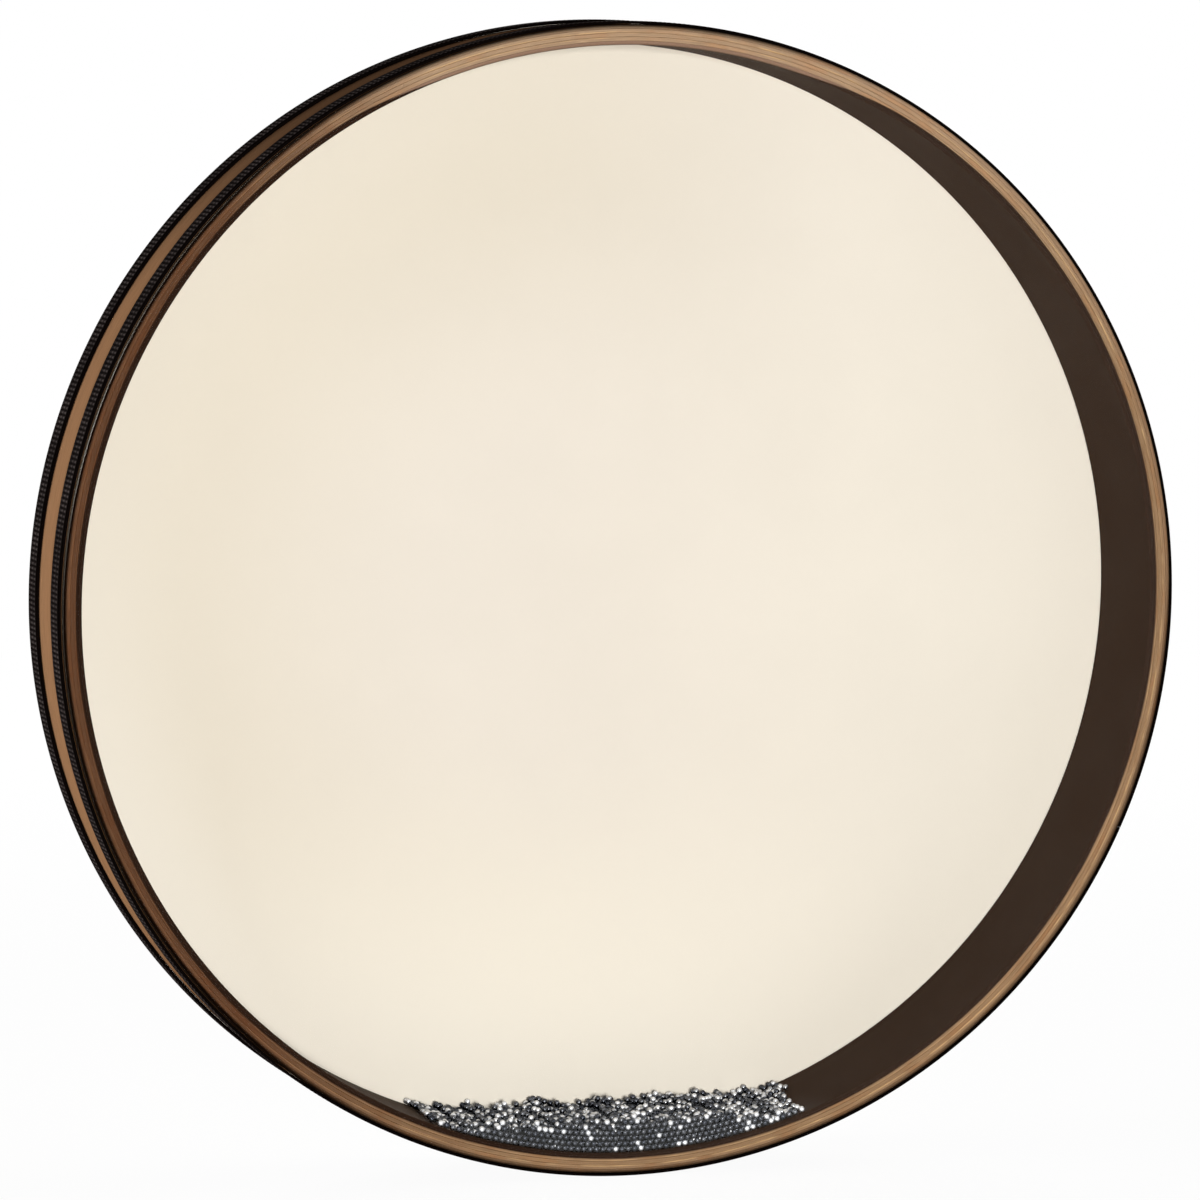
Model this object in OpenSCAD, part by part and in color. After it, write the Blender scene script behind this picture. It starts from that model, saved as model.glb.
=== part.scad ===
// Ocean drum: a shallow bent-ply shell with a clear head in front, an opaque head behind,
// woven tapes round both rims and a charge of loose steel balls inside.
// It stands upright on its tapes: +Z is up, the drum's axis runs along Y, the clear head faces -Y.

/* [Shell] */
// Outside diameter of the wooden shell
shell_d = 558.8; // [400:0.1:700]
// Depth of the shell from rim to rim
shell_depth = 72.5; // [50:0.5:120]
// Thickness of one of the five plies of the wall
ply_t = 1.88; // [1.3:0.02:3]
// Glue line between two plies
glue_t = 0.1; // [0.05:0.01:0.3]
// Gap where the two ends of a bent ply meet
ply_joint = 0.4; // [0.2:0.1:1]
// Rounding of the rim's outer edge, which the head film is folded over
rim_round = 0.8; // [0.3:0.1:1.2]
// Chamfer of the rim's inner edge
rim_chamfer = 1.2; // [0.3:0.1:1.8]

/* [Heads] */
// Thickness of the head films
film_t = 0.25; // [0.15:0.05:0.5]
// Glue under the head films and under the tapes
bond_t = 0.05; // [0.02:0.01:0.2]
// How far the edge of a head film is turned down over the shell
collar_depth = 16; // [6:0.5:18]

/* [Tapes] */
// Width of the woven tapes
tape_w = 19; // [10:0.5:24]
// Thickness of the woven tapes
tape_t = 1.3; // [0.8:0.1:2.5]
// Distance from the rim to the nearer edge of its tape
tape_inset = 0.6; // [0:0.1:3]
// Gap where the two ends of a tape meet
tape_joint = 0.5; // [0.2:0.1:2]

/* [Shot] */
// Diameter of one steel ball
ball_d = 3; // [2.6:0.1:5]
// Gap between neighbouring balls
ball_gap = 0.06; // [0.04:0.01:0.2]
// Running gap between the shot and the drum
shot_gap = 0.3; // [0.1:0.05:1]
// Depth of the heap of shot at its middle
heap_h = 16.6; // [10:0.1:30]
// Lean of the heap round to the right, in degrees
heap_lean = 0.8; // [-8:0.1:8]
// Clear space between the right end of the heap and one stray ball
stray_gap = 3.2; // [0.5:0.1:20]

/* [Hidden] */
$fn = 180;
ball_fn = 24;
cut_over = 1;

// Shell
ply_count = 5;
shell_r = shell_d / 2;
half_depth = shell_depth / 2;
ply_step = ply_t + glue_t;
cavity_r = shell_r - ply_count * ply_t - (ply_count - 1) * glue_t;
// The joints of the plies are spread round the shell, clear of the side that is seen
first_joint = 20;
joint_spread = 67;

// Heads and tapes
film_r = shell_r + bond_t;
collar_r = film_r + film_t;
disc_r = shell_r - rim_round;
tape_r = collar_r + bond_t + tape_t;
front_tape_joint = 25;
rear_tape_joint = 40;

// The drum stands on its tapes, with the origin under its middle
axis_z = tape_r;

// Shot: balls in layers one behind the other, and in each layer in rows along the wall
ball_r = ball_d / 2;
ball_step = ball_d + ball_gap;
row_step = ball_step * sqrt(3) / 2;
first_row_r = cavity_r - shot_gap - ball_r;
row_count = 1 + floor((heap_h - shot_gap - ball_d) / row_step);
top_row_r = first_row_r - (row_count - 1) * row_step;
// The rows keep one angular step, so that each row lies in the hollows of the one below
ball_angle = ball_step / top_row_r * 180 / PI;
heap_level = cavity_r - heap_h;

function row_r(row) = first_row_r - row * row_step;
function row_reach(row) = acos(min(1, (heap_level + ball_r) / row_r(row)));
function row_shift(row) = 0.5 * (row % 2);
function row_angles(row) =
  let (last = floor(row_reach(row) / ball_angle - row_shift(row)),
       first = -floor(row_reach(row) / ball_angle + row_shift(row)))
  [for (i = [first : 1 : last]) (i + row_shift(row)) * ball_angle];

// Behind the first layer each row of balls is joined into one curved rod of the same mass
function rod_span(row) = len(row_angles(row)) * ball_angle;
function rod_r(row) = sqrt(pow(ball_d, 3) / (6 * row_r(row) * ball_angle * PI / 180));

layer_room = shell_depth - 2 * shot_gap;
layer_count = floor((layer_room + ball_gap) / ball_step);
// The first layer lies against the clear head
first_layer_y = shot_gap + ball_r - half_depth;
third = floor(layer_count / 3);
stray_angle = row_angles(0)[len(row_angles(0)) - 1] + (ball_d + stray_gap) / first_row_r * 180 / PI;

function layer_y(layer) = first_layer_y + layer * ball_step;

// Local Z becomes the drum's axis, from the clear head to the opaque one
module on_axis() {
  translate([0, 0, axis_z])
    rotate([-90, 0, 0])
      children();
}

// Opens a ring where the two ends of its strip meet, at an angle measured up from the right
module strip_joint(gap, angle) {
  difference() {
    children();
    rotate([0, 0, -angle])
      translate([cavity_r - cut_over, -gap / 2, -half_depth - cut_over])
        cube([tape_r - cavity_r + 2 * cut_over, gap, shell_depth + 2 * cut_over]);
  }
}

// A band round the axis: inside radius, thickness, start along the axis and width
module band(inner_r, thickness, start, width) {
  rotate_extrude()
    translate([inner_r, start])
      square([thickness, width]);
}

module ply(index) {
  on_axis()
    strip_joint(ply_joint, index * joint_spread - first_joint)
      band(shell_r - index * ply_step - ply_t, ply_t, -half_depth, shell_depth);
}

// Material outside the rounding of one corner of the rim
module rim_corner() {
  translate([disc_r, half_depth - rim_round])
    difference() {
      square(rim_round + cut_over);
      circle(r = rim_round, $fn = 48);
    }
}

module outer_ply() {
  color("#9b7353")
    on_axis()
      strip_joint(ply_joint, -first_joint)
        rotate_extrude()
          difference() {
            translate([shell_r - ply_t, -half_depth])
              square([ply_t, shell_depth]);
            rim_corner();
            mirror([0, 1])
              rim_corner();
          }
}

module second_ply() {
  color("#80603f")
    ply(1);
}

module middle_ply() {
  color("#6d4b35")
    ply(2);
}

module fourth_ply() {
  color("#80603f")
    ply(3);
}

module inner_ply() {
  outside = cavity_r + ply_t;
  lip = half_depth - rim_chamfer;
  color("#3a2d25")
    on_axis()
      strip_joint(ply_joint, 4 * joint_spread - first_joint)
        rotate_extrude()
          polygon([
            [cavity_r, -lip],
            [cavity_r + rim_chamfer, -half_depth],
            [outside, -half_depth],
            [outside, half_depth],
            [cavity_r + rim_chamfer, half_depth],
            [cavity_r, lip],
          ]);
}

// The flat film of a head, laid on the rim at the start of the local Z axis
module head_film() {
  translate([0, 0, -half_depth - bond_t - film_t])
    cylinder(r = disc_r, h = film_t);
}

// The edge of a head film: folded over the rim's rounding and down the outside of the shell
module head_collar() {
  fold_r = rim_round + bond_t;
  rotate_extrude() {
    translate([disc_r, rim_round - half_depth])
      intersection() {
        difference() {
          circle(r = fold_r + film_t, $fn = 48);
          circle(r = fold_r, $fn = 48);
        }
        translate([0, -fold_r - film_t])
          square(fold_r + film_t);
      }
    translate([film_r, rim_round - half_depth])
      square([film_t, collar_depth - rim_round]);
  }
}

module front_head() {
  color("#dfe3e4", 0.3)
    on_axis()
      head_film();
}

module front_collar() {
  color("#c9c4b8", 0.6)
    on_axis()
      head_collar();
}

module rear_head() {
  color("#eee3d1")
    on_axis()
      mirror([0, 0, 1])
        head_film();
}

module rear_collar() {
  color("#eee3d1")
    on_axis()
      mirror([0, 0, 1])
        head_collar();
}

// One woven tape, wound once round the shell over the collar of a head
module rim_tape() {
  band(tape_r - tape_t, tape_t, tape_inset - half_depth, tape_w);
}

module front_tape() {
  color("#1b1512")
    on_axis()
      strip_joint(tape_joint, -front_tape_joint)
        rim_tape();
}

module rear_tape() {
  color("#1b1512")
    on_axis()
      strip_joint(tape_joint, -rear_tape_joint)
        mirror([0, 0, 1])
          rim_tape();
}

// Turns a shape that hangs below the axis round to the right
module swung(angle) {
  translate([0, 0, axis_z])
    rotate([0, -angle, 0])
      children();
}

module ball(row, angle) {
  swung(angle + heap_lean)
    translate([0, layer_y(0), -row_r(row)])
      sphere(d = ball_d, $fn = ball_fn);
}

// The layer of balls that lies against the clear head
module front_shot() {
  color("#8a8c92") {
    for (row = [0 : row_count - 1], angle = row_angles(row))
      ball(row, angle);
    ball(0, stray_angle);
  }
}

// Layers of shot whose rows are joined into rods that follow the wall
module shot_rows(first, last) {
  color("#6f7177")
    on_axis()
      for (layer = [first : last], row = [0 : row_count - 1])
        rotate([0, 0, 90 - heap_lean - rod_span(row) / 2])
          rotate_extrude(angle = rod_span(row))
            translate([row_r(row), layer_y(layer)])
              circle(r = rod_r(row), $fn = ball_fn);
}

module front_shot_rows() {
  shot_rows(1, third - 1);
}

module middle_shot_rows() {
  shot_rows(third, layer_count - third - 1);
}

module rear_shot_rows() {
  shot_rows(layer_count - third, layer_count - 1);
}

outer_ply();
second_ply();
middle_ply();
fourth_ply();
inner_ply();
front_head();
front_collar();
rear_head();
rear_collar();
front_tape();
rear_tape();
front_shot();
front_shot_rows();
middle_shot_rows();
rear_shot_rows();
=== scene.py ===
"""Looks of the ocean drum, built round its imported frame: a lacquered ply shell, a clear and a cream
film head, ribbed woven tapes and a charge of loose steel shot."""
import math
import random

import bmesh
import bpy
from mathutils import Matrix, Vector


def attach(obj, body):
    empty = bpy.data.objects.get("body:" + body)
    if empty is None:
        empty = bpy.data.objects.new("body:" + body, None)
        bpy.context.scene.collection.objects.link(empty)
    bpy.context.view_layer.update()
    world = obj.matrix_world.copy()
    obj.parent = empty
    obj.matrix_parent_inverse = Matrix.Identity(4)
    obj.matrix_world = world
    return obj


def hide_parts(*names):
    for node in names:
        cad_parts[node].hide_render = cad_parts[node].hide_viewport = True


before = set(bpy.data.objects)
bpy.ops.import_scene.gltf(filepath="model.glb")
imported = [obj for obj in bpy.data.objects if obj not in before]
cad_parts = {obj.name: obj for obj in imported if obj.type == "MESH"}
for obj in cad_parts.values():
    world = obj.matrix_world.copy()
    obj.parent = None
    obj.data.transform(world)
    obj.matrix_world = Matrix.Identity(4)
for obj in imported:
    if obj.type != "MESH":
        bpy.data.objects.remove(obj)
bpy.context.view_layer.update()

MM = 0.001

# Sizes of the part, as in its source; places of joints in degrees, measured up from the right
SHELL_R = 279.4 * MM
HALF_DEPTH = 36.25 * MM
PLY_COUNT = 5
PLY_T = 1.88 * MM
GLUE_T = 0.1 * MM
PLY_STEP = PLY_T + GLUE_T
CAVITY_R = SHELL_R - PLY_COUNT * PLY_T - (PLY_COUNT - 1) * GLUE_T
FIRST_JOINT = -20
JOINT_SPREAD = 67
RIM_ROUND = 0.8 * MM
RIM_CHAMFER = 1.2 * MM
FILM_T = 0.25 * MM
BOND_T = 0.05 * MM
COLLAR_DEPTH = 16 * MM
DISC_R = SHELL_R - RIM_ROUND
TAPE_W = 19 * MM
TAPE_T = 1.3 * MM
TAPE_INSET = 0.6 * MM
TAPE_R = SHELL_R + 2 * BOND_T + FILM_T + TAPE_T
TAPE_MIDDLE = HALF_DEPTH - TAPE_INSET - TAPE_W / 2
FRONT_TAPE_JOINT = -25
REAR_TAPE_JOINT = -40
AXIS_Z = TAPE_R

# Heap of shot, as in the part's source
BALL_R = 1.5 * MM
BALL_STEP = 3.06 * MM
SHOT_GAP = 0.3 * MM
HEAP_H = 16.6 * MM
HEAP_LEVEL = CAVITY_R - HEAP_H
HEAP_LEAN = math.radians(0.8)
FIRST_ROW_R = CAVITY_R - SHOT_GAP - BALL_R
ROW_STEP = BALL_STEP * math.sqrt(3) / 2
ROW_COUNT = 6
BALL_ANGLE = BALL_STEP / (FIRST_ROW_R - (ROW_COUNT - 1) * ROW_STEP)
FIRST_LAYER_Y = SHOT_GAP + BALL_R - HALF_DEPTH
LAYER_COUNT = 23
THIRD = LAYER_COUNT // 3
LAYERS = {
    "front": range(THIRD),
    "middle": range(THIRD, LAYER_COUNT - THIRD),
    "rear": range(LAYER_COUNT - THIRD, LAYER_COUNT),
}

# Which way a head or tape faces along the drum's axis
FRONT, REAR = -1, 1

RING_STEPS = 360
SHARP_ANGLE = math.radians(35)
WELD = 0.002 * MM


def colour(red, green, blue):
    """A colour given in the numbers of a picture, from 0 to 255, as the shader's own linear values."""
    def linear(part):
        part /= 255
        return part / 12.92 if part <= 0.04045 else ((part + 0.055) / 1.055) ** 2.4
    return (linear(red), linear(green), linear(blue), 1)


# Shader helpers

def put(tree, kind, inputs=None, **settings):
    """Adds a node; inputs gives values or other nodes' outputs for its sockets."""
    made = tree.nodes.new(kind)
    for name, value in settings.items():
        setattr(made, name, value)
    for socket, value in (inputs or {}).items():
        if isinstance(value, bpy.types.NodeSocket):
            tree.links.new(value, made.inputs[socket])
        else:
            made.inputs[socket].default_value = value
    return made


def maths(tree, operation, first, second=0.0):
    return put(tree, "ShaderNodeMath", {0: first, 1: second}, operation=operation).outputs[0]


def vector_maths(tree, operation, **inputs):
    """A vector operation on the sockets a and b, or a and scale."""
    sockets = {{"a": 0, "b": 1, "scale": 3}[name]: value for name, value in inputs.items()}
    return put(tree, "ShaderNodeVectorMath", sockets, operation=operation).outputs


def spread(tree, value, low, high, at_low=0.0, at_high=1.0):
    """Carries a value smoothly from at_low to at_high while it goes from low to high."""
    limits = {"Value": value, "From Min": low, "From Max": high, "To Min": at_low, "To Max": at_high}
    return put(tree, "ShaderNodeMapRange", limits, interpolation_type="SMOOTHSTEP").outputs["Result"]


def away_from(tree, value, line):
    """How far a value lies from a line, on either side."""
    return maths(tree, "ABSOLUTE", maths(tree, "SUBTRACT", value, line))


def wander(tree, share, width):
    """Turns a share of 0 to 1 into a shift to either side, by half the width at most."""
    return maths(tree, "MULTIPLY", maths(tree, "SUBTRACT", share, 0.5), width)


def blend(tree, factor, first, second, way="MIX"):
    sockets = {0: factor, 6: first, 7: second}
    return put(tree, "ShaderNodeMix", sockets, data_type="RGBA", blend_type=way).outputs[2]


def tinted(tree, base, tint):
    return blend(tree, 1.0, base, tint, "MULTIPLY")


def noise(tree, vector, scale, detail=3.0, roughness=0.55):
    sockets = {"Vector": vector, "Scale": scale, "Detail": detail, "Roughness": roughness}
    return put(tree, "ShaderNodeTexNoise", sockets).outputs["Fac"]


def object_place(tree):
    return put(tree, "ShaderNodeTexCoord").outputs["Object"]


def split(tree, vector):
    return put(tree, "ShaderNodeSeparateXYZ", {0: vector}).outputs


def new_group(name, inputs, outputs):
    """An empty node group, with its input and output nodes."""
    tree = bpy.data.node_groups.new(name, "ShaderNodeTree")
    for socket, kind in inputs.items():
        tree.interface.new_socket(socket, in_out="INPUT", socket_type="NodeSocket" + kind)
    for socket, kind in outputs.items():
        tree.interface.new_socket(socket, in_out="OUTPUT", socket_type="NodeSocket" + kind)
    return tree, put(tree, "NodeGroupInput").outputs, put(tree, "NodeGroupOutput")


def use_group(tree, group, inputs):
    return put(tree, "ShaderNodeGroup", inputs, node_tree=group).outputs


def new_material(name, **constants):
    """A material with its Principled shader, whose even values are set on the shader itself."""
    made = bpy.data.materials.new(name)
    made.use_nodes = True
    shader = made.node_tree.nodes["Principled BSDF"]
    for socket, value in constants.items():
        shader.inputs[socket.replace("_", " ").title().replace("Ior", "IOR")].default_value = value
    return made, made.node_tree, shader


def link(tree, output, node, socket):
    tree.links.new(output, node.inputs[socket])


def bump(tree, shader, height, strength, distance):
    sockets = {"Height": height, "Strength": strength, "Distance": distance}
    link(tree, put(tree, "ShaderNodeBump", sockets).outputs["Normal"], shader, "Normal")


def mix_shaders(tree, share, first, second):
    """Shows the second shader by that share over the first, in place of the material's own surface."""
    both = put(tree, "ShaderNodeMixShader", {0: share, 1: first, 2: second}).outputs[0]
    link(tree, both, tree.nodes["Material Output"], "Surface")


# Effects that several materials share

def ring_place_group():
    """Where a point lies on the drum: its direction round the axis, its radius and its depth."""
    tree, given, result = new_group(
        "ring_place", {"Place": "Vector"}, {"Round": "Vector", "Radius": "Float", "Depth": "Float"})
    centred = vector_maths(tree, "SUBTRACT", a=given["Place"], b=(0, 0, AXIS_Z))[0]
    flat = vector_maths(tree, "MULTIPLY", a=centred, b=(1, 0, 1))[0]
    link(tree, vector_maths(tree, "NORMALIZE", a=flat)[0], result, "Round")
    link(tree, vector_maths(tree, "LENGTH", a=flat)["Value"], result, "Radius")
    link(tree, split(tree, given["Place"])["Y"], result, "Depth")
    return tree


RING_PLACE = ring_place_group()


def ring_grain_group():
    """Grain that runs round the ring: Length is streaks round it, Fine is lines to a metre across it."""
    tree, given, result = new_group(
        "ring_grain", {"Place": "Vector", "Length": "Float", "Fine": "Float", "Seed": "Float"},
        {"Grain": "Float"})
    ring = use_group(tree, RING_PLACE, {"Place": given["Place"]})
    turned = vector_maths(tree, "SCALE", a=ring["Round"], scale=given["Length"])[0]
    across = maths(tree, "MULTIPLY", ring["Radius"], given["Fine"])
    lifted = put(tree, "ShaderNodeCombineXYZ", {"Y": across}).outputs[0]
    line = vector_maths(tree, "ADD", a=turned, b=lifted)[0]
    along_depth = maths(tree, "MULTIPLY", ring["Depth"], given["Fine"])
    shifted = maths(tree, "ADD", along_depth, given["Seed"])
    sockets = {"Vector": line, "W": shifted, "Scale": 1.0, "Detail": 3.0, "Roughness": 0.6}
    streaks = put(tree, "ShaderNodeTexNoise", sockets, noise_dimensions="4D").outputs["Fac"]
    link(tree, streaks, result, "Grain")
    return tree


def smudge_group():
    """Soft uneven patches, as of handling and dust."""
    tree, given, result = new_group("smudge", {"Place": "Vector", "Size": "Float"}, {"Smudge": "Float"})
    scale = maths(tree, "DIVIDE", 1.0, given["Size"])
    patches = noise(tree, given["Place"], scale, detail=4.0, roughness=0.6)
    link(tree, spread(tree, patches, 0.3, 0.7), result, "Smudge")
    return tree


RING_GRAIN = ring_grain_group()
SMUDGE = smudge_group()


def ring_at(tree, place):
    """The place on the drum, and how far to the right and how far up it lies, each from -1 to 1."""
    ring = use_group(tree, RING_PLACE, {"Place": place})
    turned = split(tree, ring["Round"])
    return ring, turned["X"], turned["Z"]


def smudges(tree, place, size):
    return use_group(tree, SMUDGE, {"Place": place, "Size": size})["Smudge"]


# Wood

# Kinds of grain: streaks round the ring, lines to a metre across it, and a shift of the seed
LONG_GRAIN = (5.0, 700.0, 0.0)
FINE_GRAIN = (30.0, 2600.0, 9.0)
BROAD_PATCHES = (9.0, 25.0, 5.0)
LINING_GRAIN = (9.0, 900.0, 0.0)

# Colours of a ply: its sides, its edge in the rim on the right and on the left, and the lines along it
FACE_PLY = {"wall": colour(176, 131, 94), "tan": colour(150, 118, 90), "brown": colour(92, 61, 41),
            "streak": colour(160, 128, 98), "seed": 3.0}
CORE_PLY = {"wall": colour(140, 104, 74), "tan": colour(156, 125, 95), "brown": colour(103, 71, 50),
            "streak": colour(176, 145, 110), "seed": 17.0}
DARK_PLY = {"wall": colour(120, 84, 60), "tan": colour(155, 124, 93), "brown": colour(98, 67, 47),
            "streak": colour(174, 142, 107), "seed": 29.0}
# Painted shade: the sides of the plies darken to this colour towards the top and bottom of the drum
WALL_SHADE = colour(66, 45, 31)
# Painted light: the rim's paler colour at the top of the drum
RIM_LIT_TOP = colour(186, 156, 127)
# The stain's tone, darker at the left as painted shade
STAIN_LEFT = colour(46, 30, 21)
STAIN_RIGHT = colour(58, 44, 36)
BARE_LINING = colour(150, 120, 100)
LINING_TONES = (colour(54, 39, 30), colour(65, 49, 38))
LINING_SMUDGE = colour(60, 44, 34)
LINING_SMUDGED = 0.5
HIGHLIGHT_TINT = (1.45, 1.42, 1.32, 1)
REDDENED_TINT = (1.06, 0.94, 0.84, 1)

# Ramps for spread: where a ramp starts and ends, and the values there where these aren't 0 and 1
FAR_LEFT = (-0.8, -0.4)
FROM_LEFT_TO_RIGHT = (-0.4, 0.3)
END_GRAIN = (34.6 * MM, 35.9 * MM)
WALL_SHADE_RAMP = (0.5, 0.92, 0.0, 0.75)
LIT_TOP_RAMP = (0.2, 1.0, 0.0, 0.7)
REDDENED = (0.36, 0.52, 1.0, 0.0)
DARK_LINES = (0.3, 0.65, 0.82, 1.06)
PLY_SHEEN = (0.3, 0.7, 0.55, 0.4)
LINING_SHEEN = (0.0, 1.0, 0.6, 0.72)

# The rim turns from brown to tan across the drum, along a border that leans and wanders; the brown at the
# left is painted shade
BROWN_TO_TAN = (-205 * MM, -60 * MM)
TAN_LEAN = 15 * MM
TAN_WANDER = 40 * MM
TAN_CLOUDS = 70 * MM
LINING_CLOUDS = 90 * MM

# The dark stain on the rim: how far out it reaches, and how much further or less far in places; that it
# reaches less far at the top and further on the right is painted light and shade
STAIN_REACH = (272.9 * MM, 272.3 * MM)
STAIN_SOFT = 0.4 * MM
STAIN_WANDER = 1.2 * MM
STAIN_LIT_TOP = (0.86, 1.0, 0.0, 4 * MM)
STAIN_ON_RIGHT = (0.3, 0.7)
STAIN_UP_RIGHT = (-0.75, 0.5, -0.5 * MM, 0.7 * MM)

# Light lines along the rim, painted highlights where the plies' arrises catch the light: the radius of each,
# how wide it fades and how strong it is
RIM_LINES = [(275.7 * MM, 0.75 * MM, 1.0), (273.2 * MM, 0.5 * MM, 0.6)]
LINE_CORE = 0.1 * MM
LINE_SWAY = 0.8 * MM
LINE_PATCHES = (0.42, 0.6)

# Painted shade on the dark outer part of the rim: its start and end, at the far left and elsewhere; narrower
# where lit
DARK_FROM = (276.4 * MM, 276.6 * MM)
DARK_TO = (278.1 * MM, 279.3 * MM)
DARK_LEAST = 0.04
LIT_ON_RIGHT = (0.15, 0.6, 0.0, 1.3 * MM)
LIT_ABOVE = (-0.15, 0.15)

WOOD_BUMP = 0.2
WOOD_BUMP_H = 0.12 * MM


def wood_grain(tree, place, kind, seed):
    length, fine, shift = kind
    sockets = {"Place": place, "Length": length, "Fine": fine, "Seed": seed + shift}
    return use_group(tree, RING_GRAIN, sockets)["Grain"]


def rim_stain_and_shade_group():
    """The dark stain of the lining where it has run onto the rim, which is real; how far it reaches round
    the drum, none at the top, and its darker tone at the left are painted light and shade.
    """
    tree, given, result = new_group(
        "rim_stain_and_shade", {"Place": "Vector", "Wander": "Float"}, {"Stain": "Float", "Stain Color": "Color"})
    ring, rightward, upward = ring_at(tree, given["Place"])
    wider = maths(tree, "MULTIPLY", spread(tree, rightward, *STAIN_ON_RIGHT),
                  spread(tree, upward, *STAIN_UP_RIGHT))
    reach = maths(tree, "ADD", spread(tree, rightward, *FAR_LEFT, *STAIN_REACH), wider)
    edge = maths(tree, "SUBTRACT", reach, spread(tree, upward, *STAIN_LIT_TOP))
    wandering = maths(tree, "ADD", edge, wander(tree, given["Wander"], STAIN_WANDER))
    beyond = maths(tree, "SUBTRACT", ring["Radius"], wandering)
    link(tree, spread(tree, beyond, -STAIN_SOFT, STAIN_SOFT, 1.0, 0.0), result, "Stain")
    tone = blend(tree, spread(tree, rightward, *FROM_LEFT_TO_RIGHT), STAIN_LEFT, STAIN_RIGHT)
    link(tree, tone, result, "Stain Color")
    return tree


RIM_STAIN_AND_SHADE = rim_stain_and_shade_group()


def stained(tree, place, grain, bare):
    """The colour of the rim with the stain of the lining over it, and the painted light and shade along the
    stain's edge.
    """
    stain = use_group(tree, RIM_STAIN_AND_SHADE, {"Place": place, "Wander": grain})
    return blend(tree, stain["Stain"], bare, stain["Stain Color"])


def end_grain(tree, ring):
    """1 on the edge of a ply in either rim, 0 on its sides."""
    return spread(tree, maths(tree, "ABSOLUTE", ring["Depth"]), *END_GRAIN)


def tan_share(tree, place, upward):
    """How tan the rim is: 0 at the brown left of the drum, whose brown is painted shade."""
    leaning = maths(tree, "ADD", split(tree, place)["X"], maths(tree, "MULTIPLY", upward, TAN_LEAN))
    wandering = wander(tree, smudges(tree, place, TAN_CLOUDS), TAN_WANDER)
    return spread(tree, maths(tree, "ADD", leaning, wandering), *BROWN_TO_TAN)


def rim_lines(tree, ring, grain, patches):
    """Painted highlights: light lines where the arrises of two plies catch the light, swaying and broken
    into lengths.
    """
    swayed = maths(tree, "ADD", ring["Radius"], wander(tree, grain, LINE_SWAY))
    lines = [spread(tree, away_from(tree, swayed, line_r), LINE_CORE, fade, strength, 0.0)
             for line_r, fade, strength in RIM_LINES]
    shown = spread(tree, patches, *LINE_PATCHES)
    return maths(tree, "MULTIPLY", maths(tree, "MAXIMUM", *lines), shown)


def outer_shade(tree, ring, rightward, upward):
    """Painted shade: how much light the rim keeps towards its dark outer edge."""
    lit = maths(tree, "MULTIPLY", spread(tree, rightward, *LIT_ON_RIGHT), spread(tree, upward, *LIT_ABOVE))
    dark_from = spread(tree, rightward, *FAR_LEFT, *DARK_FROM)
    dark_to = spread(tree, rightward, *FAR_LEFT, *DARK_TO)
    return spread(tree, maths(tree, "SUBTRACT", ring["Radius"], lit), dark_from, dark_to, 1.0, DARK_LEAST)


def ply_wood(name, wall, tan, brown, streak, seed):
    """A bent ply: wall is the colour of its sides, tan and brown those of its edge in the rim, which is
    browner towards the left of the drum as painted shade, and streak the light lines along the edge, which
    are painted highlights. The edge is paler at the top as painted light, and the sides darken towards the
    top and bottom as painted shade."""
    made, tree, shader = new_material(name, specular_ior_level=0.0)
    place = object_place(tree)
    ring, rightward, upward = ring_at(tree, place)
    long_grain = wood_grain(tree, place, LONG_GRAIN, seed)
    fine_grain = wood_grain(tree, place, FINE_GRAIN, seed)
    patches = wood_grain(tree, place, BROAD_PATCHES, seed)
    side = tan_share(tree, place, upward)
    # The rim's edge browner at the left of the drum, as painted shade, and paler at the top, as painted
    # light
    edge = blend(tree, side, brown, blend(tree, spread(tree, upward, *LIT_TOP_RAMP), tan, RIM_LIT_TOP))
    # Painted highlights: the light lines along the rim, in the streak colour and lifted in tone
    lines = rim_lines(tree, ring, long_grain, patches)
    edge = blend(tree, lines, edge, blend(tree, side, brown, streak))
    edge = blend(tree, lines, edge, tinted(tree, edge, HIGHLIGHT_TINT))
    edge = blend(tree, spread(tree, patches, *REDDENED), edge, tinted(tree, edge, REDDENED_TINT))
    edge = tinted(tree, edge, outer_shade(tree, ring, rightward, upward))
    edge = stained(tree, place, long_grain, edge)
    # The sides darker towards the top and bottom of the drum: painted shade
    painted_wall_shade = spread(tree, maths(tree, "ABSOLUTE", upward), *WALL_SHADE_RAMP)
    base = blend(tree, end_grain(tree, ring), blend(tree, painted_wall_shade, wall, WALL_SHADE), edge)
    base = tinted(tree, base, spread(tree, fine_grain, *DARK_LINES))
    link(tree, base, shader, "Base Color")
    link(tree, spread(tree, long_grain, *PLY_SHEEN), shader, "Roughness")
    bump(tree, shader, fine_grain, WOOD_BUMP, WOOD_BUMP_H)
    return made


def lining_wood():
    """The inner ply, stained dark; the stain runs onto the rim, less so at the top, where the bare rim is
    painted light.
    """
    made, tree, shader = new_material("lining_wood", specular_ior_level=0.02)
    place = object_place(tree)
    ring, _, _ = ring_at(tree, place)
    grain = wood_grain(tree, place, LINING_GRAIN, seed=40.0)
    smudge = smudges(tree, place, LINING_CLOUDS)
    wall = blend(tree, grain, *LINING_TONES)
    wall = blend(tree, maths(tree, "MULTIPLY", smudge, LINING_SMUDGED), wall, LINING_SMUDGE)
    edge = stained(tree, place, grain, BARE_LINING)
    link(tree, blend(tree, end_grain(tree, ring), wall, edge), shader, "Base Color")
    link(tree, spread(tree, smudge, *LINING_SHEEN), shader, "Roughness")
    bump(tree, shader, grain, WOOD_BUMP, WOOD_BUMP_H)
    return made


# Films

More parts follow.
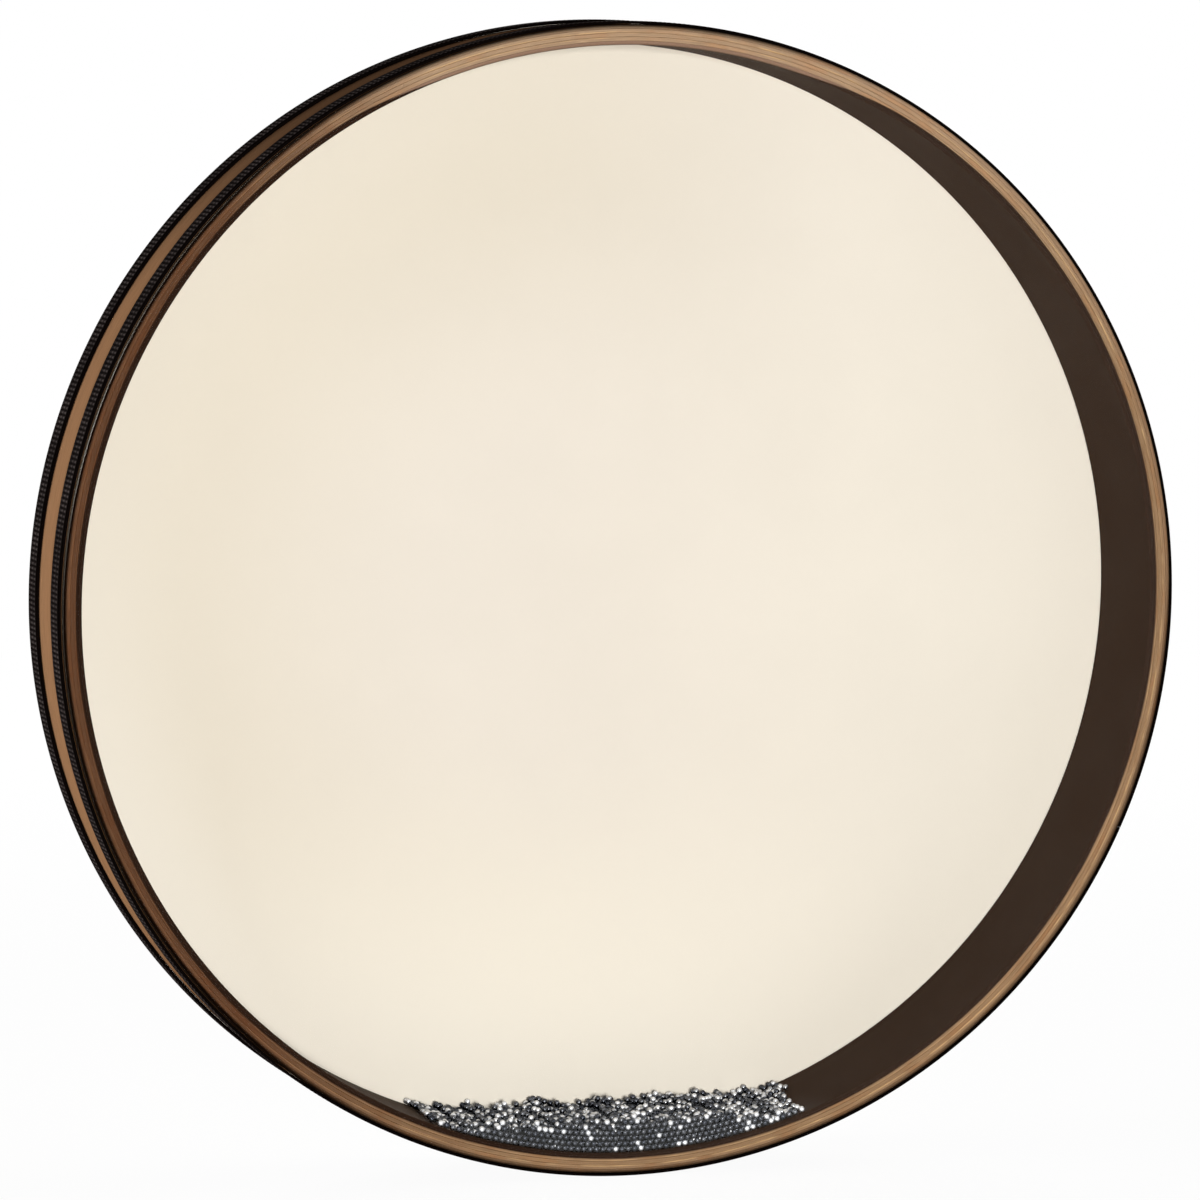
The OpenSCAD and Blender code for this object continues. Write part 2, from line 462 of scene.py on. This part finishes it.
FILM_TINT = (0.992, 0.99, 0.984, 1)
FILM_GLOSS = (0.9, 0.91, 0.9, 1)
FOLD_GLOSS = (0.9, 0.76, 0.58, 1)
FILM_CLOUDS = 120 * MM
FILM_ROUGH = (0.0, 1.0, 0.03, 0.07)
FOLD_ROUGH = 0.6
# The pale line of the fold over the rim: a painted highlight, at the left
FOLD_LINE_R = 279.1 * MM
FOLD_LINE = (0.15 * MM, 0.45 * MM, 1.0, 0.0)
FOLD_ON_LEFT = (-0.85, -0.5, 0.024, 0.0)
FOLD_ABOVE = (-0.3, 0.4, 0.3, 1.0)
# The haze where the shot rubs, low on the head and within the wall; it also lifts the shade between the
# balls, as painted light
RUB_HAZE_AND_LIGHT = (22 * MM, 38 * MM, 0.016, 0.0)
RUB_HAZE_AND_LIGHT_WITHIN = (CAVITY_R - 1.2 * MM, CAVITY_R, 1.0, 0.0)
# The gloss of the flat film, which grows towards a grazing view and ends at the fold
LEAST_GLOSS = 0.001
GRAZING_GLOSS = 0.3
GRAZING_POWER = 5.0
FLAT_WITHIN = (DISC_R - 1 * MM, DISC_R, 1.0, 0.0)


def clear_film():
    """Thin clear polyester: what lies behind shows through, with a faint gloss, a paler fold at the left
    that is a painted highlight, and a haze where the shot rubs that also lifts the shade between the balls
    as painted light."""
    made, tree, shader = new_material("clear_film", metallic=1.0)
    place = object_place(tree)
    ring, rightward, upward = ring_at(tree, place)
    fold = spread(tree, away_from(tree, ring["Radius"], FOLD_LINE_R), *FOLD_LINE)
    # Painted highlight on the fold, at the left and towards the top
    highlight_mask = maths(tree, "MULTIPLY", spread(tree, rightward, *FOLD_ON_LEFT), spread(tree, upward, *FOLD_ABOVE))
    # Haze where the shot rubs, which also lifts the shade between the balls: painted light
    rub_haze_and_light = maths(tree, "MULTIPLY", spread(tree, split(tree, place)["Z"], *RUB_HAZE_AND_LIGHT),
                   spread(tree, ring["Radius"], *RUB_HAZE_AND_LIGHT_WITHIN))
    facing = put(tree, "ShaderNodeLayerWeight", {"Blend": 0.5}).outputs["Facing"]
    grazing = maths(tree, "MULTIPLY", maths(tree, "POWER", facing, GRAZING_POWER), GRAZING_GLOSS)
    flat = maths(tree, "MULTIPLY", maths(tree, "ADD", grazing, LEAST_GLOSS),
                 spread(tree, ring["Radius"], *FLAT_WITHIN))
    marks = maths(tree, "MAXIMUM", maths(tree, "MULTIPLY", fold, highlight_mask), rub_haze_and_light)
    rough = spread(tree, smudges(tree, place, FILM_CLOUDS), *FILM_ROUGH)
    link(tree, blend(tree, fold, FILM_GLOSS, FOLD_GLOSS), shader, "Base Color")
    link(tree, maths(tree, "MAXIMUM", rough, maths(tree, "MULTIPLY", fold, FOLD_ROUGH)), shader, "Roughness")
    clear = put(tree, "ShaderNodeBsdfTransparent", {"Color": FILM_TINT}).outputs[0]
    mix_shaders(tree, maths(tree, "MAXIMUM", flat, marks), clear, shader.outputs[0])
    return made


CREAM_MIDDLE = (colour(239, 230, 217), colour(242, 233, 220))
CREAM_OUTER = (colour(235, 225, 207), colour(238, 228, 210))
CREAM_RIGHT = (colour(247, 239, 225), colour(250, 242, 228))
CREAM_PALE = colour(255, 247, 232)
CREAM_CLOUDS = 110 * MM
CREAM_ROUGH = (0.0, 1.0, 0.5, 0.6)
# Where the head's inner face is paler, as painted light: in a band by the rim, which fades upwards, and low
# down
PALE_BY_RIM = (190 * MM, 272 * MM)
PALE_UPWARDS = (120 * MM, 420 * MM, 1.0, 0.25)
PALE_BELOW = (40 * MM, 225 * MM, 1.0, 0.0)
INNER_FACE = (HALF_DEPTH + BOND_T, HALF_DEPTH + BOND_T + FILM_T, 1.0, 0.0)
# Where it is lighter, on the right, as painted light, and where it is warmer, away from the middle on the
# left
LIGHTER_RIGHT = (-40 * MM, 220 * MM)
WARMER_OUT = (70 * MM, 230 * MM)
WARMER_LEFT = (-60 * MM, 150 * MM, 1.0, 0.0)
PEBBLES = 1400.0
PEBBLE_BUMP = 0.08
PEBBLE_H = 0.1 * MM


def cream_film():
    """Opaque coated film: cream, with faint clouds; a lighter band by the rim, the paler lower part and the
    lighter right side of its inner face are painted light.
    """
    made, tree, shader = new_material("cream_film", specular_ior_level=0.3)
    place = object_place(tree)
    ring, _, _ = ring_at(tree, place)
    across, height = (split(tree, place)[axis] for axis in "XZ")
    smudge = smudges(tree, place, CREAM_CLOUDS)
    inner = spread(tree, ring["Depth"], *INNER_FACE)
    # Painted light on the inner face: paler by the rim and low down, and lighter on the right
    by_rim = maths(tree, "MULTIPLY", spread(tree, ring["Radius"], *PALE_BY_RIM),
                   spread(tree, height, *PALE_UPWARDS))
    pale = maths(tree, "MULTIPLY", maths(tree, "MAXIMUM", by_rim, spread(tree, height, *PALE_BELOW)), inner)
    lighter = maths(tree, "MULTIPLY", spread(tree, across, *LIGHTER_RIGHT), inner)
    warmer = maths(tree, "MULTIPLY", spread(tree, ring["Radius"], *WARMER_OUT),
                   spread(tree, across, *WARMER_LEFT))
    middle, outer, right = (
        blend(tree, smudge, *tones) for tones in (CREAM_MIDDLE, CREAM_OUTER, CREAM_RIGHT))
    cloud = blend(tree, warmer, blend(tree, lighter, middle, right), outer)
    link(tree, blend(tree, pale, cloud, CREAM_PALE), shader, "Base Color")
    link(tree, spread(tree, smudge, *CREAM_ROUGH), shader, "Roughness")
    bump(tree, shader, noise(tree, place, PEBBLES, detail=2.0), PEBBLE_BUMP, PEBBLE_H)
    return made


# Tape and steel

RIB_DEPTH = 0.42 * MM
EDGE_SINK = 0.15 * MM
TAPE_THREAD = (colour(70, 62, 60), colour(114, 105, 103))
TAPE_GROUND = (colour(10, 6, 5), colour(30, 25, 24))
TAPE_CLOUDS = 25 * MM
TAPE_WORN = (0.0, 1.0, 0.5, 1.0)
TAPE_ROUGH = (0.3, 0.7, 0.62, 0.85)
RIB_CREST = (TAPE_R - 0.8 * RIB_DEPTH, TAPE_R)
# The two columns of bumps in the weave, a little nearer to the front of the drum than the tape's middle,
# with painted highlights on them
COLUMNS_APART = 6.1 * MM
COLUMNS_SHIFT = 1.05 * MM
COLUMN = (0.5 * MM, 2.2 * MM, 1.0, 0.4)
# Painted shade along the tape's edge towards the front of the drum
SHADED_EDGE = (-6.8 * MM, -5.6 * MM)
FIBRES = 2600.0
FIBRE_BUMP = 0.4
FIBRE_H = 0.12 * MM


def woven_tape():
    """Black ribbed tape: grey on the ribs, partly wear and partly painted highlight, most on two columns of
    bumps; deep black between them and along its edges, with painted shade at the edge towards the drum's
    front.
    """
    made, tree, shader = new_material("woven_tape", specular_ior_level=0.0)
    place = object_place(tree)
    ring, _, _ = ring_at(tree, place)
    fibre = noise(tree, place, FIBRES, detail=2.0)
    middle = maths(tree, "MULTIPLY", maths(tree, "SIGN", ring["Depth"]), TAPE_MIDDLE)
    along = maths(tree, "SUBTRACT", ring["Depth"], middle)
    from_middle = maths(tree, "ABSOLUTE", maths(tree, "ADD", along, COLUMNS_SHIFT))
    # Painted highlights on the columns of bumps and on the crests of the ribs; painted shade along the edge
    # towards the drum's front
    columns = spread(tree, away_from(tree, from_middle, COLUMNS_APART / 2), *COLUMN)
    inside = maths(tree, "MULTIPLY", spread(tree, along, *SHADED_EDGE), columns)
    crest = spread(tree, ring["Radius"], *RIB_CREST)
    highlight_mask = maths(tree, "MULTIPLY", crest, spread(tree, smudges(tree, place, TAPE_CLOUDS), *TAPE_WORN))
    ground = blend(tree, inside, *TAPE_GROUND)
    thread = blend(tree, fibre, *TAPE_THREAD)
    link(tree, blend(tree, maths(tree, "MULTIPLY", highlight_mask, inside), ground, thread), shader, "Base Color")
    link(tree, spread(tree, fibre, *TAPE_ROUGH), shader, "Roughness")
    bump(tree, shader, fibre, FIBRE_BUMP, FIBRE_H)
    return made


STEEL_DARK = (colour(54, 57, 65), colour(68, 71, 79))
STEEL_BRIGHT = colour(234, 236, 240)
STEEL_EDGE = (0.25, 0.25, 0.26, 1)
STEEL_ROUGH = (0.5, 1.0, 0.23, 0.42)
STEEL_MARKS = 0.06
STEEL_MARK_SIZE = 1.2 * MM


def steel_shot():
    """Steel balls, each with its own shine from dark to bright: the dark tone also stands in for dark
    reflections, as painted reflection, and the bright balls for highlights, as painted highlights.
    """
    made, tree, shader = new_material("steel_shot", metallic=1.0, specular_tint=STEEL_EDGE)
    polish_and_light = put(tree, "ShaderNodeAttribute", attribute_name="polish_and_light").outputs["Fac"]
    smudge = smudges(tree, object_place(tree), STEEL_MARK_SIZE)
    link(tree, blend(tree, polish_and_light, blend(tree, smudge, *STEEL_DARK), STEEL_BRIGHT), shader, "Base Color")
    marks = maths(tree, "MULTIPLY", smudge, STEEL_MARKS)
    link(tree, maths(tree, "ADD", spread(tree, polish_and_light, *STEEL_ROUGH), marks), shader, "Roughness")
    return made


# Making pieces

def on_ring(radius, depth, angle):
    """A point at that angle round the drum, measured up from the right as the clear head is faced."""
    return Vector((radius * math.cos(angle), depth, AXIS_Z + radius * math.sin(angle)))


def arc(centre_radius, centre_depth, reach, start, end, steps):
    """Points of a section along an arc, from start to end in degrees from the outward direction."""
    angles = [math.radians(start + (end - start) * step / steps) for step in range(steps + 1)]
    return [(centre_radius + reach * math.cos(a), centre_depth + reach * math.sin(a)) for a in angles]


def draw_section(bm, section, angle, closed=True):
    """The outline of a ring's section, given as (radius, depth), at that angle."""
    corners = [bm.verts.new(on_ring(radius, depth, angle)) for radius, depth in section]
    following = corners[1:] + corners[:1] if closed else corners[1:]
    return corners + [bm.edges.new(pair) for pair in zip(corners, following)]


def spin_round(bm, geom, angle, steps, **ways):
    bmesh.ops.spin(bm, geom=geom, cent=(0, 0, AXIS_Z), axis=(0, -1, 0), angle=angle, steps=steps, **ways)


def close_and_smooth(bm):
    """Joins seams, closes open ends, turns the faces outwards and keeps the sharp edges sharp."""
    bmesh.ops.remove_doubles(bm, verts=bm.verts, dist=WELD)
    open_edges = [edge for edge in bm.edges if edge.is_boundary]
    if open_edges:
        bmesh.ops.holes_fill(bm, edges=open_edges)
    bmesh.ops.recalc_face_normals(bm, faces=bm.faces)
    for face in bm.faces:
        face.smooth = True
    for edge in bm.edges:
        edge.smooth = not (edge.is_manifold and edge.calc_face_angle() > SHARP_ANGLE)


def bmesh_to_mesh(name, bm):
    mesh = bpy.data.meshes.new(name)
    bm.to_mesh(mesh)
    bm.free()
    return mesh


def place_in_scene(name, data):
    placed = bpy.data.objects.new(name, data)
    bpy.context.scene.collection.objects.link(placed)
    return placed


def make_piece(name, bm, material, body, nodes):
    """Makes a piece of the drum from a bmesh and says what it rides on and stands for."""
    mesh = bmesh_to_mesh(name, bm)
    mesh.materials.append(material)
    piece = place_in_scene(name, mesh)
    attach(piece, body)
    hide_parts(*nodes)
    return piece


# Shell

# Joints show as fine lines, closer than in the part's source
PLY_JOINT = 0.12 * MM
ARRIS = 0.12 * MM
ROUND_STEPS = 6


def ply_ring(node, index, section, material):
    """One ply, bent round the drum up to its joint."""
    joint = math.radians(FIRST_JOINT + index * JOINT_SPREAD)
    gap = PLY_JOINT / SHELL_R
    bm = bmesh.new()
    outline = draw_section(bm, section, joint + gap / 2)
    spin_round(bm, outline, 2 * math.pi - gap, RING_STEPS)
    close_and_smooth(bm)
    make_piece(node + "_hoop", bm, material, "drum", [node])


def plain_section(index):
    """Section of a ply inside the wall, with its arrises just broken."""
    outside = SHELL_R - index * PLY_STEP
    inside = outside - PLY_T
    end = HALF_DEPTH
    return [
        (inside, end - ARRIS), (inside + ARRIS, end), (outside - ARRIS, end), (outside, end - ARRIS),
        (outside, ARRIS - end), (outside - ARRIS, -end), (inside + ARRIS, -end), (inside, ARRIS - end)]


def outer_section():
    """Section of the outer ply, rounded where the films fold over it."""
    inside = SHELL_R - PLY_T
    low = arc(DISC_R, RIM_ROUND - HALF_DEPTH, RIM_ROUND, -90, 0, ROUND_STEPS)
    high = arc(DISC_R, HALF_DEPTH - RIM_ROUND, RIM_ROUND, 0, 90, ROUND_STEPS)
    return [(inside, HALF_DEPTH), (inside, -HALF_DEPTH)] + low + high


def inner_section():
    """Section of the inner ply, chamfered towards the cavity."""
    outside = CAVITY_R + PLY_T
    lip = HALF_DEPTH - RIM_CHAMFER
    return [
        (outside, HALF_DEPTH), (CAVITY_R + RIM_CHAMFER, HALF_DEPTH), (CAVITY_R, lip),
        (CAVITY_R, -lip), (CAVITY_R + RIM_CHAMFER, -HALF_DEPTH), (outside, -HALF_DEPTH)]


def make_shell():
    face_ply = ply_wood("outer_wood", **FACE_PLY)
    core_ply = ply_wood("core_wood", **CORE_PLY)
    dark_ply = ply_wood("dark_wood", **DARK_PLY)
    ply_ring("outer_ply", 0, outer_section(), face_ply)
    ply_ring("second_ply", 1, plain_section(1), core_ply)
    ply_ring("middle_ply", 2, plain_section(2), dark_ply)
    ply_ring("fourth_ply", 3, plain_section(3), core_ply)
    ply_ring("inner_ply", 4, inner_section(), lining_wood())


# Heads

DISC_RINGS = [0, 30 * MM, 90 * MM, 150 * MM, 210 * MM, 255 * MM]
FOLD_STEPS = 8


def film_section(side):
    """Section of a head's film, from its middle over the fold and down the collar."""
    fold_y = HALF_DEPTH - RIM_ROUND
    collar_end = HALF_DEPTH - COLLAR_DEPTH
    inside = RIM_ROUND + BOND_T
    outside = inside + FILM_T
    outer_face = [(radius, fold_y + outside) for radius in DISC_RINGS]
    outer_fold = arc(DISC_R, fold_y, outside, 90, 0, FOLD_STEPS)
    inner_fold = arc(DISC_R, fold_y, inside, 0, 90, FOLD_STEPS)
    inner_face = [(radius, fold_y + inside) for radius in reversed(DISC_RINGS)]
    edge = [(DISC_R + outside, collar_end), (DISC_R + inside, collar_end)]
    whole = outer_face + outer_fold + edge + inner_fold + inner_face
    return [(radius, side * depth) for radius, depth in whole]


def make_head(name, side, material, nodes):
    bm = bmesh.new()
    outline = draw_section(bm, film_section(side), 0, closed=False)
    spin_round(bm, outline, 2 * math.pi, RING_STEPS, use_merge=True)
    close_and_smooth(bm)
    make_piece(name, bm, material, "drum", nodes)


# Tapes

TAPE_JOINT = 0.12 * MM
TAPE_SECTORS = 15
RIBS_IN_SECTOR = 49
STEPS_IN_RIB = 4
# Across the tape, from its middle towards the drum's back: how strongly each line of the weave is ribbed
WEAVE_LINES = [
    (-9.5, 0.0), (-9.2, 0.1), (-7.6, 0.4), (-6.4, 0.75), (-5.2, 1.0), (-3.2, 1.0), (-2.0, 0.8),
    (-1.0, 0.3), (0.0, 0.8), (1.2, 1.0), (3.2, 1.0), (4.6, 0.8), (7.6, 0.6), (9.2, 0.1), (9.5, 0.0)]


def tape_section(side):
    """Section of a tape: the lines of its weave outside, and its plain back."""
    back = TAPE_R - TAPE_T
    face = [(TAPE_R, side * TAPE_MIDDLE + place * MM) for place, _ in WEAVE_LINES]
    return face + [(back, face[-1][1]), (back, face[0][1])]


def rib_sink(rib, ribbed):
    """How far a point of the tape's face lies below the tops of its ribs; rib counts from a hollow."""
    wave = 0.5 + 0.5 * math.cos(2 * math.pi * rib)
    return ribbed * RIB_DEPTH * wave + (1 - ribbed) * EDGE_SINK


def make_tape(node, side, joint, material):
    """A tape as one sector of ribs, repeated round the drum up to its joint."""
    gap = TAPE_JOINT / TAPE_R
    sweep = (2 * math.pi - gap) / TAPE_SECTORS
    start = math.radians(joint) + gap / 2
    bm = bmesh.new()
    spin_round(bm, draw_section(bm, tape_section(side), start), sweep, RIBS_IN_SECTOR * STEPS_IN_RIB)
    ribbing = {round(place, 2): ribbed for place, ribbed in WEAVE_LINES}
    for vert in bm.verts:
        outward = Vector((vert.co.x, 0, vert.co.z - AXIS_Z))
        if outward.length < TAPE_R - TAPE_T / 2:
            continue
        ribbed = ribbing[round((vert.co.y - side * TAPE_MIDDLE) / MM, 2)]
        turned = (math.atan2(outward.z, outward.x) - start) % (2 * math.pi)
        vert.co -= outward.normalized() * rib_sink(turned / sweep * RIBS_IN_SECTOR, ribbed)
    sector = bm.verts[:] + bm.edges[:] + bm.faces[:]
    spin_round(bm, sector, sweep * (TAPE_SECTORS - 1), TAPE_SECTORS - 1, use_duplicate=True)
    close_and_smooth(bm)
    make_piece(node + "_weave", bm, material, "drum", [node])


# Shot

# Loose top of the heap: shares of balls that are gone from it or perched on it, and how far others moved
LOOSE_SHARE = 0.24
PERCHED_SHARE = 0.2
LOOSE_SHIFT = 0.7 * MM
# Thin ends of the heap, in balls: how far they run out, less in each higher row, and how that varies
FRONT_LEFT_TAIL = 5.5
REAR_LEFT_TAIL = 4.8
REAR_RIGHT_TAIL = 3
LEFT_TAIL_LESS = 1.6
RIGHT_TAIL_LESS = 2
LEFT_TAIL_VARIES = (-1.2, 0.7)
RIGHT_TAIL_VARIES = (-0.8, 0.8)
TAIL_FROM = 0.86
STRAY_GAP = 0.7 * MM
# Polish of the balls, from dark to bright, which also stands for painted highlights and painted reflections
BRIGHT = 1.0
HALF_BRIGHT = (0.4, 0.95)
FAIRLY_DARK = (0.0, 0.2)
DARK_TOP = (0.0, 0.15)
DARK = (0.0, 0.08)
# Shares of bright balls on top of the heap and under it: at its middle, and what its right end adds; these
# bright balls are painted highlights
FIRST_LAYERS = 3
FIRST_TOP_SHARE = (0.38, 0.12)
TOP_SHARE = (0.21, 0.02)
TOP_HALF_SHARE = (0.42, 0.06)
SEEN_LAYERS = 2
LOW_ROWS = 3
LOW_SHARE = (0.05, 0.18)
UPPER_SHARE = (0.16, 0.18)


def on_top(balls, row, place):
    return not {(row + 1, place - 1), (row + 1, place + 1)} & balls


def heap_layer(dice, left_tail, right_tail):
    """Balls of one layer as {(row, half steps round the wall)}, with a loose top and thin ends."""
    balls = set()
    for row in range(ROW_COUNT):
        radius = FIRST_ROW_R - row * ROW_STEP
        reach = math.acos(min(1, (HEAP_LEVEL + BALL_R) / radius)) / BALL_ANGLE
        odd = row % 2
        last = math.floor(reach - odd / 2)
        first = -last - odd - max(0, left_tail - round(LEFT_TAIL_LESS * row))
        final = last + max(0, right_tail - RIGHT_TAIL_LESS * row)
        balls |= {(row, 2 * step + odd) for step in range(first, final + 1)}
    ends = max(abs(place) for _, place in balls)
    for row, place in sorted(balls, reverse=True):
        open_below = row > 0 or abs(place) > TAIL_FROM * ends
        if open_below and on_top(balls, row, place) and dice.random() < LOOSE_SHARE:
            balls.discard((row, place))
    for row, place in sorted(balls):
        carried = row > 1 and (row, place + 2) in balls and (row + 1, place + 1) not in balls
        if carried and dice.random() < PERCHED_SHARE:
            balls.add((row + 1, place + 1))
    return balls


def share_at(share, rightward):
    middle, added = share
    return middle + added * rightward


def ball_polish_and_light(dice, layer, row, shown, rightward):
    """How bright a ball is: dark against the clear head, with bright ones along the top of the heap and
    towards its right end, which are painted highlights."""
    chance = dice.random()
    if not shown:
        share = share_at(LOW_SHARE if row < LOW_ROWS else UPPER_SHARE, max(0, rightward))
        return BRIGHT if layer < SEEN_LAYERS and chance <= share else dice.uniform(*DARK)
    if layer < FIRST_LAYERS:
        return BRIGHT if chance < share_at(FIRST_TOP_SHARE, rightward) else dice.uniform(*FAIRLY_DARK)
    if chance < share_at(TOP_SHARE, rightward):
        return BRIGHT
    return dice.uniform(*(HALF_BRIGHT if chance < share_at(TOP_HALF_SHARE, rightward) else DARK_TOP))


def layer_balls(dice, layer):
    """Places and polish of the balls of one layer, which is turned a little by chance."""
    depth = FIRST_LAYER_Y + layer * BALL_STEP
    share = layer / (LAYER_COUNT - 1)
    turn = dice.uniform(-0.5, 0.5) * BALL_ANGLE if layer else 0
    left_tail = FRONT_LEFT_TAIL + (REAR_LEFT_TAIL - FRONT_LEFT_TAIL) * share
    left_tail = round(left_tail + dice.uniform(*LEFT_TAIL_VARIES))
    right_tail = round(REAR_RIGHT_TAIL * share + dice.uniform(*RIGHT_TAIL_VARIES)) if layer else 0
    balls = heap_layer(dice, left_tail, right_tail)
    right_end = max(place for _, place in balls)
    laid = []
    for row, place in sorted(balls):
        radius = FIRST_ROW_R - row * ROW_STEP
        angle = place / 2 * BALL_ANGLE + HEAP_LEAN + turn
        shown = on_top(balls, row, place)
        if shown and layer:
            angle += dice.uniform(-LOOSE_SHIFT, LOOSE_SHIFT) / radius
            radius = min(radius + dice.uniform(-LOOSE_SHIFT, LOOSE_SHIFT), FIRST_ROW_R)
        polish_and_light = ball_polish_and_light(dice, layer, row, shown, place / right_end)
        laid.append((on_ring(radius, depth, angle - math.pi / 2), polish_and_light))
    if layer == 0:
        last = max(place for row, place in balls if row == 0)
        stray = last / 2 * BALL_ANGLE + HEAP_LEAN + (2 * BALL_R + STRAY_GAP) / FIRST_ROW_R
        laid.append((on_ring(FIRST_ROW_R, depth, stray - math.pi / 2), BRIGHT))
    return laid


def ball_shape():
    bm = bmesh.new()
    bmesh.ops.create_icosphere(bm, subdivisions=2, radius=BALL_R)
    for face in bm.faces:
        face.smooth = True
    return bmesh_to_mesh("ball", bm)


def make_shot(group, material, nodes):
    """One depth group of the charge: balls layer behind layer."""
    dice = random.Random(group)
    laid = [ball for layer in LAYERS[group] for ball in layer_balls(dice, layer)]
    shape = ball_shape()
    bm = bmesh.new()
    for place, _ in laid:
        shape.transform(Matrix.Translation(place))
        bm.from_mesh(shape)
        shape.transform(Matrix.Translation(-place))
    piece = make_piece(group + "_balls", bm, material, group + "_charge", nodes)
    shine = piece.data.attributes.new("polish_and_light", "FLOAT", "POINT")
    shine.data.foreach_set("value", [polish_and_light for _, polish_and_light in laid for _ in shape.vertices])
    bpy.data.meshes.remove(shape)


# Stage

FLOOR_HALF = 150.0
FLOOR_WHITE = (0.95, 0.95, 0.95, 1)
# How white the floor looks: it keeps the shadow near the drum
FLOOR_WHITENS = (0.4, 2.5, 0.95, 1.0)
WHITE = (1, 1, 1, 1)
AMBIENT = 0.09
# Soft lights: azimuth and elevation in degrees, distance and side in metres, and watts
PANELS = {
    "key_panel": (-10, 3.7, 5.0, 0.55, 187),
    "left_panel": (-88, 13, 1.0, 0.35, 2.2),
    "right_panel": (85, 30, 2.8, 2.0, 20),
    "back_panel": (170, 22, 3.5, 1.6, 82),
}
# Camera, read off the photograph as a frame of 1200 by 1200 pixels
PHOTO_SIDE = 1200
FOCAL_PIXELS = 7013.8
SENSOR_MM = 36
CAMERA_AZIMUTH = -16.311
CAMERA_ELEVATION = 5.475
CAMERA_DISTANCE = 3.398
RIM_CENTRE_PIXEL = (628.27, 602.97)


def seen_directly(tree):
    """1 for rays of the camera, of mirrors and of clear pieces, which see the white background."""
    path = put(tree, "ShaderNodeLightPath").outputs
    direct = maths(tree, "MAXIMUM", path["Is Camera Ray"], path["Is Glossy Ray"])
    return maths(tree, "MAXIMUM", direct, path["Is Transmission Ray"])


def make_floor():
    bm = bmesh.new()
    bmesh.ops.create_grid(bm, x_segments=1, y_segments=1, size=FLOOR_HALF)
    floor = place_in_scene("floor", bmesh_to_mesh("floor", bm))
    made, tree, shader = new_material(
        "floor_white", base_color=FLOOR_WHITE, roughness=0.9, specular_ior_level=0.0)
    white = put(tree, "ShaderNodeEmission", {"Color": WHITE, "Strength": 1.0}).outputs[0]
    away = vector_maths(tree, "LENGTH", a=object_place(tree))["Value"]
    share = maths(tree, "MULTIPLY", seen_directly(tree), spread(tree, away, *FLOOR_WHITENS))
    mix_shaders(tree, share, shader.outputs[0], white)
    floor.data.materials.append(made)


def make_world():
    world = bpy.data.worlds.new("studio")
    world.use_nodes = True
    tree = world.node_tree
    background = tree.nodes["Background"]
    background.inputs["Color"].default_value = WHITE
    link(tree, spread(tree, seen_directly(tree), 0.0, 1.0, AMBIENT, 1.0), background, "Strength")
    bpy.context.scene.world = world


def view_direction(azimuth, elevation):
    """From the drum towards a viewer at that azimuth and elevation, in degrees."""
    azimuth, elevation = math.radians(azimuth), math.radians(elevation)
    level = math.cos(elevation)
    return Vector((math.sin(azimuth) * level, -math.cos(azimuth) * level, math.sin(elevation)))


def soft_panel(name, azimuth, elevation, distance, side, watts):
    """A square soft light that faces the middle of the drum."""
    lamp = bpy.data.lights.new(name, "AREA")
    lamp.size = side
    lamp.energy = watts
    panel = place_in_scene(name, lamp)
    towards = view_direction(azimuth, elevation)
    panel.location = Vector((0, 0, AXIS_Z)) + towards * distance
    panel.rotation_euler = towards.to_track_quat("Z", "Y").to_euler()


def make_camera():
    """A camera that sees the middle of the front rim at the photograph's place in the frame."""
    camera = bpy.data.cameras.new("camera")
    camera.sensor_width = SENSOR_MM
    camera.lens = FOCAL_PIXELS / PHOTO_SIDE * SENSOR_MM
    camera.clip_end = 4 * FLOOR_HALF
    holder = place_in_scene("camera", camera)
    rim_centre = Vector((0, -HALF_DEPTH, AXIS_Z))
    back = view_direction(CAMERA_AZIMUTH, CAMERA_ELEVATION)
    right = (-back).cross(Vector((0, 0, 1))).normalized()
    up = back.cross(right)
    metres_per_pixel = CAMERA_DISTANCE / FOCAL_PIXELS
    pixels_right, pixels_down = (pixel - PHOTO_SIDE / 2 for pixel in RIM_CENTRE_PIXEL)
    aim = rim_centre - right * pixels_right * metres_per_pixel + up * pixels_down * metres_per_pixel
    holder.location = rim_centre + back * CAMERA_DISTANCE
    holder.rotation_euler = (aim - holder.location).to_track_quat("-Z", "Y").to_euler()
    bpy.context.scene.camera = holder


make_camera()
make_floor()
make_world()
for panel_name, panel_settings in PANELS.items():
    soft_panel(panel_name, *panel_settings)
bpy.context.scene.view_settings.view_transform = "Standard"

make_shell()
make_head("clear_head", FRONT, clear_film(), ["front_head", "front_collar"])
make_head("cream_head", REAR, cream_film(), ["rear_head", "rear_collar"])
tape_weave = woven_tape()
make_tape("front_tape", FRONT, FRONT_TAPE_JOINT, tape_weave)
make_tape("rear_tape", REAR, REAR_TAPE_JOINT, tape_weave)
steel = steel_shot()
make_shot("front", steel, ["front_shot", "front_shot_rows"])
make_shot("middle", steel, ["middle_shot_rows"])
make_shot("rear", steel, ["rear_shot_rows"])
